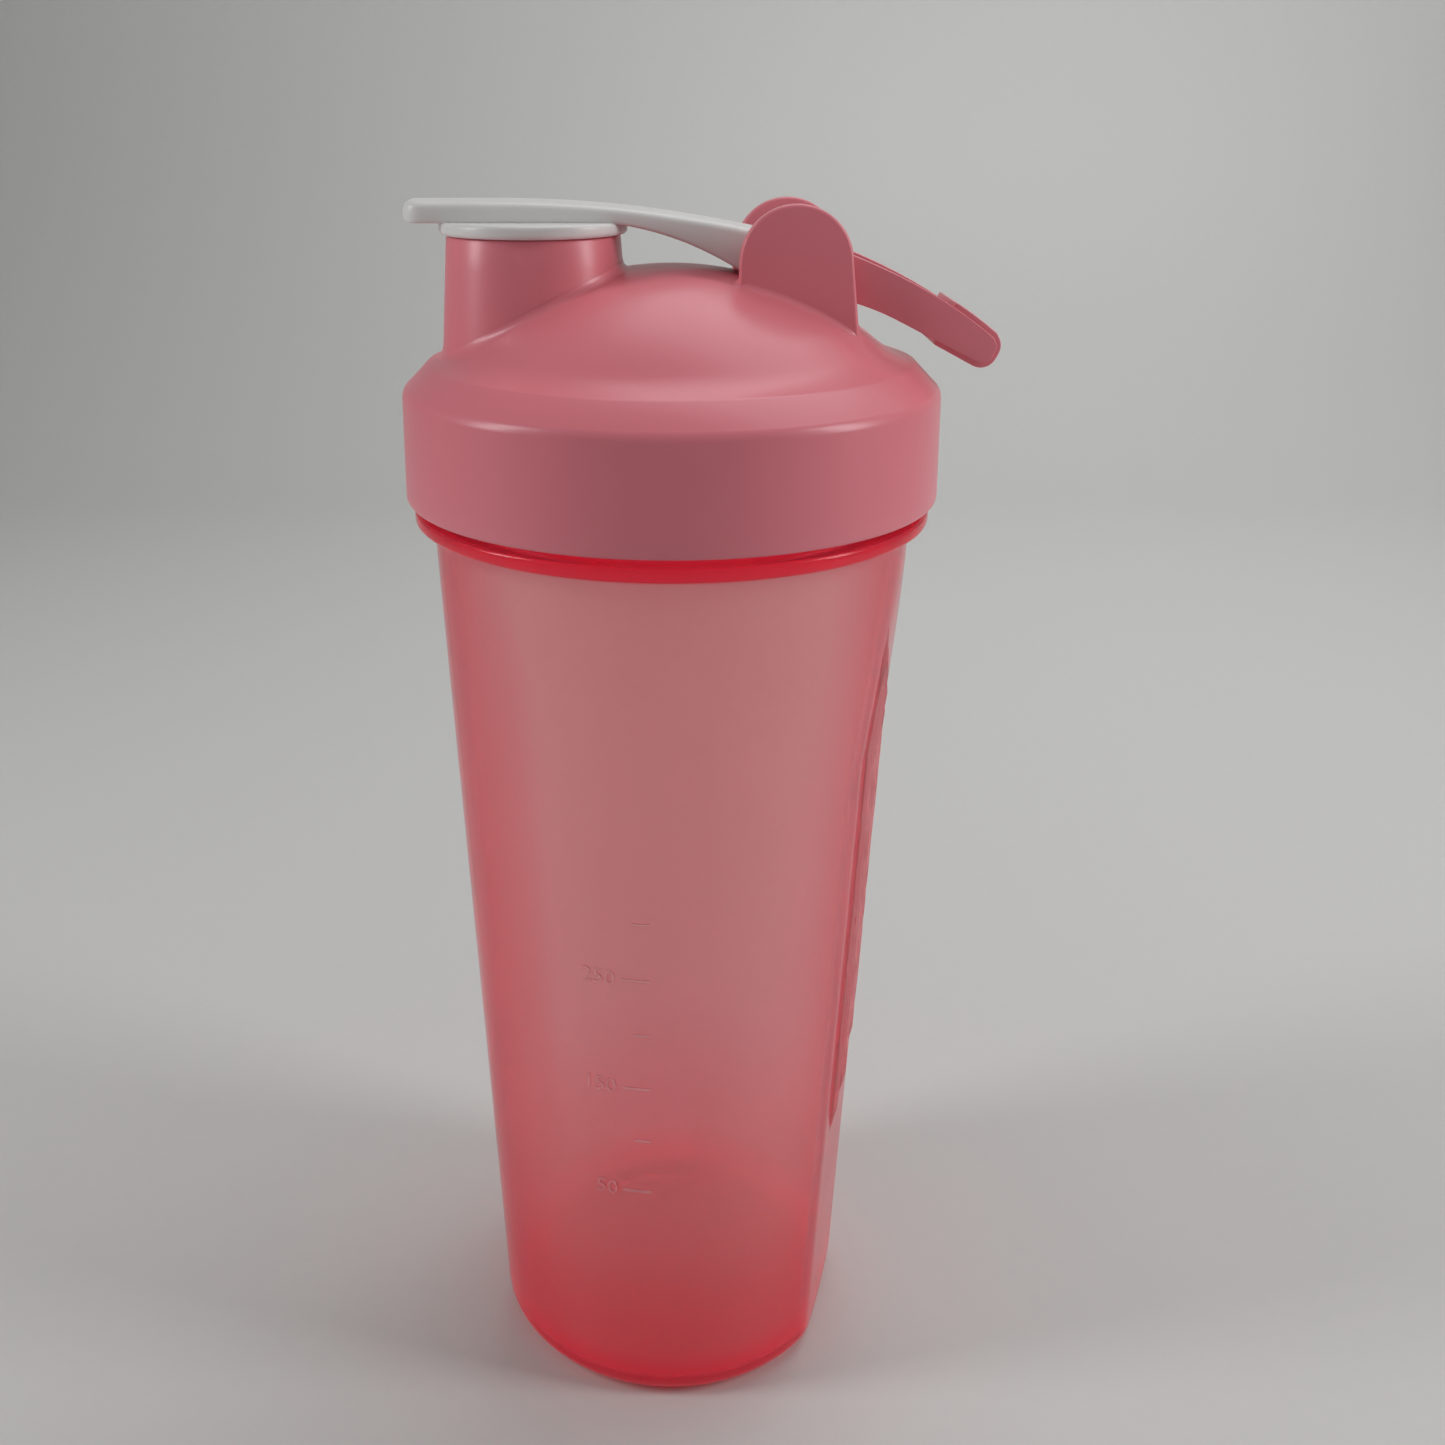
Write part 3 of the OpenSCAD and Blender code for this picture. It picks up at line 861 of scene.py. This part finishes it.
class SHAKER_OT_lid(bpy.types.Operator):
    """Screw lid: collar, dome, pouring spout, hinge ears and inner thread"""

    bl_idname = "shaker.lid"
    bl_label = "Screw lid"

    def execute(self, context):
        edge = sizes().ear_edge / MM
        core = turned("lid", lid_outer(), 144)
        base = SHELF_Z - 4
        slope = (SPOUT_LOW_R - SPOUT_TOP_R) / (SPOUT_Z - SHELF_Z)
        low_r = SPOUT_TOP_R + slope * (SPOUT_Z - base)
        outline = [(0, base), (low_r, base)] + line((low_r, base), (SPOUT_TOP_R, SPOUT_Z - 0.5), 5)[1:]
        outline += [(SPOUT_TOP_R - 0.15, SPOUT_Z - 0.15), (SPOUT_TOP_R - 0.5, SPOUT_Z), (0, SPOUT_Z)]
        cut(core, turned("spout", outline, 96, SPOUT_X), "UNION")
        for side in (-1, 1):
            y0, y1 = sorted((side * (EAR_OUT - EAR_T), side * EAR_OUT))
            cut(core, plate("ear", ear_outline(), y0, y1, edge, 4), "UNION")
        cut(core, turned("inside", lid_inner(), 144))
        bore_r, low, high = 13.0, SHOULDER_Z, SPOUT_Z + 8
        bore = [(0, low), (bore_r, low), (bore_r, SPOUT_Z - 0.9), (bore_r + 0.15, SPOUT_Z - 0.45)]
        bore += [(bore_r + 0.7, SPOUT_Z + 0.06), (bore_r + 0.7, high), (0, high)]
        cut(core, turned("bore", bore, 96, SPOUT_X))
        blind = -EAR_OUT + EAR_T / 2
        hole = [(0, blind), (PIN_R, blind), (PIN_R, EAR_OUT - 0.3), (PIN_R + 0.4, EAR_OUT + 0.1)]
        hole += [(PIN_R + 0.4, EAR_OUT + 1), (0, EAR_OUT + 1)]
        cut(core, turned_across("hole", hole))
        parts = [core, foot_fillet("spout_foot", spout_ring(), sizes().foot_round / MM)]
        parts += [foot_fillet("ear_foot", ear_ring(side), sizes().foot_round / MM * 0.8) for side in (-1, 1)]
        lift = THREAD_Z + THREAD_LEAD / 4
        parts += [thread("thread", SKIRT_R + 0.3, NECK_R + 0.6, lift, start) for start in (0, 180)]
        piece = joined("lid_shell", *parts)
        settled(piece, "lid", "screw_lid", satin("satin_pink", looks().lid_pink), 34)
        return {"FINISHED"}


class SHAKER_OT_lid_fittings(bpy.types.Operator):
    """Gasket, mixing grid and hinge pin"""

    bl_idname = "shaker.lid_fittings"
    bl_label = "Lid fittings"

    def execute(self, context):
        low, high = GASKET_LOW.z, GASKET_HIGH.z
        inner, outer = LIP_R + 0.05, GASKET_HIGH.x
        ring = arc(inner + 0.35, low + 0.35, 0.35, 180, 270, 3) + arc(outer - 0.45, low + 0.45, 0.45, 270, 360, 3)
        ring += arc(outer - 0.45, high - 0.45, 0.45, 0, 90, 3) + arc(inner + 0.35, high - 0.35, 0.35, 90, 180, 3)
        gasket = turned("gasket", ring + ring[:1], 96)
        milk = satin("seal_silicone", looks().seal_milk, 0.5, 0.0009)
        settled(gasket, "gasket", "lid_gasket", milk)

        bar = 1.5
        rim_r = LIP_R - LIP_T - 0.02
        low = GRID_LOW.z

        def band(r0, r1, z0, z1, edge=0.3):
            section = arc(r0 + edge, z0 + edge, edge, 180, 270, 2) + arc(r1 - edge, z0 + edge, edge, 270, 360, 2)
            section += arc(r1 - edge, z1 - edge, edge, 0, 90, 2) + arc(r0 + edge, z1 - edge, edge, 90, 180, 2)
            return turned("band", section + section[:1], 72)

        parts = [band(rim_r - 1.4, rim_r, low, GRID_HIGH.z), band(rim_r - 0.7, LIP_R - 0.2, LIP_Z - 1.6, LIP_Z)]
        parts += [band(r - bar / 2, r + bar / 2, low, low + bar) for r in (7, 15, 23, 31)]
        length = rim_r - 7.2
        for k in range(8):
            deselect()
            bpy.ops.mesh.primitive_cube_add(size=1, location=((6.6 + length / 2) * MM, 0, (low + bar / 2) * MM))
            spoke = bpy.context.object
            spoke.scale = (length * MM, bar * MM, bar * MM)
            bpy.ops.object.transform_apply(location=True, rotation=True, scale=True)
            bpy.ops.object.mode_set(mode="EDIT")
            bpy.ops.mesh.select_all(action="SELECT")
            bpy.ops.mesh.bevel(offset=0.3 * MM, segments=2, affect="EDGES")
            bpy.ops.object.mode_set(mode="OBJECT")
            spoke.data.transform(Matrix.Rotation(radians(22.5 + 45 * k), 4, "Z"))
            parts.append(spoke)
        grid = joined("strainer", *parts)
        settled(grid, "lid", "mixing_grid", satin("grid_white", looks().cap_white, 0.42))

        ends = [(0, PIN_LOW.y), (PIN_R - 0.4, PIN_LOW.y), (PIN_R, PIN_LOW.y + 0.4), (PIN_R, PIN_HIGH.y - 0.4)]
        ends += [(PIN_R - 0.12, PIN_HIGH.y - 0.12), (PIN_R - 0.4, PIN_HIGH.y), (0, PIN_HIGH.y)]
        pin = turned_across("pin", ends)
        settled(pin, "lid", "hinge_pin", satin("pin_plastic", looks().pin_grey, 0.3))
        return {"FINISHED"}


# ---------------------------------------------------------------- flip cap


def arm_top(x):
    """Height of the arm's crest."""
    x0, top = TAB_X + ARM_LEVEL, CAP_HIGH.z
    if x < x0:
        return top
    return top - ARM_R + sqrt(ARM_R**2 - (x - x0) ** 2)


def arm_low(x):
    """Height of the arm's underside."""
    near = SPOUT_X + DISC_R - 2
    if x < near:
        return TAB_LOW_Z
    t = min((x - near) / (ARM_FOOT_X - near), 1)
    return TAB_LOW_Z + (ARM_FOOT_Z - TAB_LOW_Z) * (0.35 * t + 0.65 * t * t)


def arm_half(x):
    """Half the arm's width."""
    tab, arm, barrel = 6.25, 7.5, BARREL_HALF
    corner = 4.0
    tab_end, wide, narrow = TAB_X + corner, SPOUT_X - 6, SPOUT_X + 12
    if x < tab_end:
        return tab - corner + sqrt(max(corner**2 - (tab_end - x) ** 2, 0))
    if x < wide:
        t = (x - tab_end) / (wide - tab_end)
        return tab + (arm - tab) * t * t * (3 - 2 * t)
    if x < narrow:
        return arm
    t = min((x - narrow) / (HINGE_X - 12 - narrow), 1)
    return arm + (barrel - arm) * t * t * (3 - 2 * t)


def arm_section(x, crown):
    """The arm's rounded and crowned section at x."""
    half, top, low = arm_half(x), arm_top(x), arm_low(x)
    end = 1.7
    if x - TAB_X < end:
        pinch = end - sqrt(end**2 - (end - (x - TAB_X)) ** 2)
        top, low = top - pinch * 0.9, low + pinch * 0.7
    deep = top - low
    edge, under, crown = min(1.0, 0.45 * deep), min(0.6, 0.3 * deep), min(crown, 0.12 * deep)
    half = max(half, edge + 0.4)
    points = []
    for k in range(13):
        y = (half - edge) * (1 - k / 6)
        points.append((y, top - crown * (y / half) ** 2))
    left = [
        (-half + edge + edge * cos(radians(a)), top - crown - edge + edge * sin(radians(a)))
        for a in (112, 135, 158, 180)
    ]
    right = [(-y, z) for y, z in reversed(left)]
    down = arc(-half + under, low + under, under, 180, 270, 3)
    back = [(-y, z) for y, z in reversed(down)]
    ring = points + left + down + [(0, low)] + back + right
    return [(x, y, z) for y, z in ring]


class SHAKER_OT_flip_cap(bpy.types.Operator):
    """Flip cap: crowned arm, thumb tab, hinge barrel, disc, hollow stopper and its seal"""

    bl_idname = "shaker.flip_cap"
    bl_label = "Flip cap"

    def execute(self, context):
        crown = sizes().arm_crown / MM
        near_tab = [TAB_X + 1.7 * (1 - cos(radians(15 * k))) for k in range(7)]
        stations = near_tab + [TAB_X + 1.7 + (HINGE_X - TAB_X - 1.7) * (k + 1) / 56 for k in range(56)]
        arm = swept("arm", len(stations), lambda k: arm_section(stations[k], crown))
        edge = 0.8
        disc = [(0, DISC_LOW_Z), (DISC_R - edge, DISC_LOW_Z)]
        disc += arc(DISC_R - edge, DISC_LOW_Z + edge, edge, -80, 0, 4)
        disc += arc(DISC_R - 0.6, DISC_TOP_Z - 0.6, 0.6, 0, 90, 4) + [(0, DISC_TOP_Z)]
        cut(arm, turned("disc", disc, 120, SPOUT_X), "UNION")
        e = 0.6
        barrel = [(BORE_R, -BARREL_HALF + 0.3), (PIN_R + 0.35, -BARREL_HALF)]
        barrel += arc(BARREL_R - e, -BARREL_HALF + e, e, -90, 0, 3) + arc(BARREL_R - e, BARREL_HALF - e, e, 0, 90, 3)
        barrel += [(PIN_R + 0.35, BARREL_HALF), (BORE_R, BARREL_HALF - 0.3)]
        solid = [(0, -BARREL_HALF)] + barrel[2:-2] + [(0, BARREL_HALF)]
        cut(arm, turned_across("barrel", solid), "UNION")
        hole = [(0, -20), (BORE_R, -20), (BORE_R, 20), (0, 20)]
        cut(arm, turned_across("hole", hole))
        white = satin("satin_white", looks().cap_white, 0.33)
        settled(named(arm, "flip_arm"), "cap", "flip_cap", white, 38)

        r, low, inner = 12.4, DISC_LOW_Z - 4.6, 9.8
        groove, top, deep = DISC_LOW_Z - 2.7, DISC_LOW_Z - 1.2, 11.6
        roof = DISC_LOW_Z - 0.6
        plug = [(0, roof), (inner - 0.6, roof), (inner, DISC_LOW_Z - 1.2), (inner, low + 0.4), (inner + 0.4, low)]
        plug += arc(r - 0.9, low + 0.9, 0.9, -90, 0, 4) + [(r, groove), (deep, groove), (deep, top)]
        plug += [(r, top), (r, DISC_LOW_Z), (0, DISC_LOW_Z)]
        plug = turned("stopper", plug, 96, SPOUT_X)
        settled(plug, "cap", "spout_stopper", white)
        out = 12.88
        ring = [(deep, groove), (out - 0.35, groove)] + arc(out - 0.35, groove + 0.35, 0.35, -90, 0, 3)
        ring += arc(out - 0.35, top - 0.35, 0.35, 0, 90, 3) + [(deep, top), (deep, groove)]
        seal = turned("seal_ring", ring, 96, SPOUT_X)
        settled(seal, "cap", "stopper_seal", bpy.data.materials["seal_silicone"])
        return {"FINISHED"}


# ---------------------------------------------------------------- carry loop


def loop_side(grow=0.0, from_x=None):
    """A loop arm's outline from the hinge outwards, turned down to its slope; grow makes it bigger for the bar."""
    boss, end = 4.4, 1.9 + grow
    end_x = LOOP_LENGTH - BAR_EDGE + grow - end
    top, low = LOOP_RISE + LOOP_DEPTH / 2 + grow, LOOP_RISE - LOOP_DEPTH / 2 - grow
    end_top = top - 1.9
    points = curve((4, -boss + 0.9), (LOOP_LENGTH / 3, low), (LOOP_LENGTH / 2, low), 6)
    points += arc(end_x, low - 0.3 + end, end, -90, 0, 6) + arc(end_x, end_top - end, end, 0, 62, 6)
    points += curve((end_x + end * cos(radians(70)), end_top), (LOOP_LENGTH * 0.62, top + 1.2), (6, top - 0.4), 10)
    if from_x is None:
        points += arc(0, 0, boss, 90, 270, 14)
    else:
        points = [point for point in points if point[0] > from_x]
        points += [(from_x, points[-1][1]), (from_x, low)]
    slope = radians(LOOP_SLOPE)
    return [(HINGE_X + x * cos(slope) + z * sin(slope), HINGE_Z - x * sin(slope) + z * cos(slope)) for x, z in points]


class SHAKER_OT_carry_loop(bpy.types.Operator):
    """Carry loop: two arms on the hinge pin and a rounded end bar"""

    bl_idname = "shaker.carry_loop"
    bl_label = "Carry loop"

    def execute(self, context):
        inner = LOOP_OUT - LOOP_T
        near = plate("arm", loop_side(), -LOOP_OUT, -inner, 1.2, 4)
        far = plate("arm", loop_side(), inner, LOOP_OUT, 1.2, 4)
        half = LOOP_OUT - 0.8
        bar = plate("bar", loop_side(BAR_EDGE, LOOP_LENGTH - 10.5), -half, half, 1.0, 4)
        cut(near, bar, "UNION")
        cut(near, far, "UNION")
        hole = [(0, -20), (BORE_R, -20), (BORE_R, 20), (0, 20)]
        cut(near, turned_across("hole", hole))
        pink = bpy.data.materials["satin_pink"]
        settled(named(near, "loop"), "loop", "carry_loop", pink, 40)
        return {"FINISHED"}


# ---------------------------------------------------------------- studio


def area_light(name, at, towards, size, power, colour=(1, 1, 1)):
    """A soft square light."""
    direction = Vector(towards) - Vector(at)
    turn = direction.to_track_quat("-Z", "Y").to_euler()
    bpy.ops.object.light_add(type="AREA", location=at, rotation=turn)
    light = bpy.context.object
    light.name = light.data.name = name
    light.data.shape = "RECTANGLE"
    light.data.size, light.data.size_y = size
    light.data.energy = power
    light.data.color = colour
    return light


class SHAKER_OT_studio(bpy.types.Operator):
    """Pale floor and wall, soft lights and the camera"""

    bl_idname = "shaker.studio"
    bl_label = "Studio"

    def execute(self, context):
        deselect()
        bpy.ops.mesh.primitive_plane_add(size=2, location=(0, 0, -0.0002))
        floor = bpy.context.object
        floor.scale = (1.6, 1.0, 1.0)
        bpy.ops.object.transform_apply(location=False, rotation=False, scale=True)
        mesh = floor.data
        bpy.ops.object.mode_set(mode="EDIT")
        bpy.ops.mesh.select_mode(type="EDGE")
        bpy.ops.mesh.select_all(action="DESELECT")
        bpy.ops.object.mode_set(mode="OBJECT")
        for e in mesh.edges:
            e.select = all(mesh.vertices[v].co.y > 0.99 for v in e.vertices)
        bpy.ops.object.mode_set(mode="EDIT")
        bpy.ops.mesh.extrude_region_move(TRANSFORM_OT_translate={"value": (0, 0, 1.6)})
        bpy.ops.object.mode_set(mode="OBJECT")
        for e in mesh.edges:
            e.select = all(mesh.vertices[v].co.y > 0.99 and abs(mesh.vertices[v].co.z) < 0.01 for v in e.vertices)
        bpy.ops.object.mode_set(mode="EDIT")
        bpy.ops.mesh.bevel(offset=0.35, segments=16, affect="EDGES")
        bpy.ops.mesh.select_mode(type="VERT")
        bpy.ops.object.mode_set(mode="OBJECT")
        bpy.ops.object.shade_smooth()
        named(floor, "studio_floor")
        finish = Finish("studio_grey", **{"Roughness": 0.55})
        speck = finish.grain(0.004, 3)
        tone = finish.mixed(speck, rgba(looks().wall_grey, 0.985), rgba(looks().wall_grey, 1.01))
        finish.set(Base_Color=tone)
        mesh.materials.append(finish.material)

        middle = (0, 0, 0.12)
        area_light("soft_top", (0.20, 0.30, 0.90), middle, (0.8, 0.5), 2.0)
        area_light("soft_right", (0.66, -0.16, 0.44), middle, (0.18, 0.5), 2.3)
        area_light("soft_left", (-0.66, -0.14, 0.46), middle, (0.16, 0.5), 2.1)
        area_light("soft_wall", (0.45, 0.45, 0.75), (0.25, 1.0, 0.35), (0.8, 0.4), 2.5)
        world = bpy.data.worlds.new("studio_air")
        bpy.context.scene.world = world
        world.use_nodes = True
        world.node_tree.nodes["Background"].inputs["Color"].default_value = (1.0, 1.0, 0.98, 1)
        world.node_tree.nodes["Background"].inputs["Strength"].default_value = 0.17

        back, up, tilt = 0.262, 0.2321, 16.76
        bpy.ops.object.camera_add(location=(0, -back, up), rotation=(radians(90 - tilt), 0, 0))
        camera = bpy.context.object
        camera.data.lens = 37.67
        camera.data.shift_x, camera.data.shift_y = 0.0352, -0.1061
        camera.data.clip_start = 0.01
        context.scene.camera = camera
        context.scene.view_settings.view_transform = "Standard"
        return {"FINISHED"}


class SHAKER_PT_panel(bpy.types.Panel):
    """The bottle's settings and building steps"""

    bl_label = "Shaker bottle"
    bl_idname = "SHAKER_PT_panel"
    bl_space_type = "VIEW_3D"
    bl_region_type = "UI"
    bl_category = "Shaker"

    def draw(self, context):
        for group in (context.scene.shaker_sizes, context.scene.shaker_looks):
            column = self.layout.column()
            for key in group.__annotations__:
                column.prop(group, key)
        for step in STEPS:
            self.layout.operator(step.bl_idname)


STEPS = (
    SHAKER_OT_studio,
    SHAKER_OT_cup,
    SHAKER_OT_lid,
    SHAKER_OT_lid_fittings,
    SHAKER_OT_flip_cap,
    SHAKER_OT_carry_loop,
)
CLASSES = (ShakerSizes, ShakerLooks, *STEPS, SHAKER_PT_panel)


def register():
    for item in CLASSES:
        bpy.utils.register_class(item)
    bpy.types.Scene.shaker_sizes = PointerProperty(type=ShakerSizes)
    bpy.types.Scene.shaker_looks = PointerProperty(type=ShakerLooks)


def unregister():
    del bpy.types.Scene.shaker_looks
    del bpy.types.Scene.shaker_sizes
    for item in reversed(CLASSES):
        bpy.utils.unregister_class(item)


def main():
    """Builds everything in order."""
    register()
    bpy.ops.shaker.studio()
    bpy.ops.shaker.cup()
    bpy.ops.shaker.lid()
    bpy.ops.shaker.lid_fittings()
    bpy.ops.shaker.flip_cap()
    bpy.ops.shaker.carry_loop()


if __name__ == "__main__":
    main()
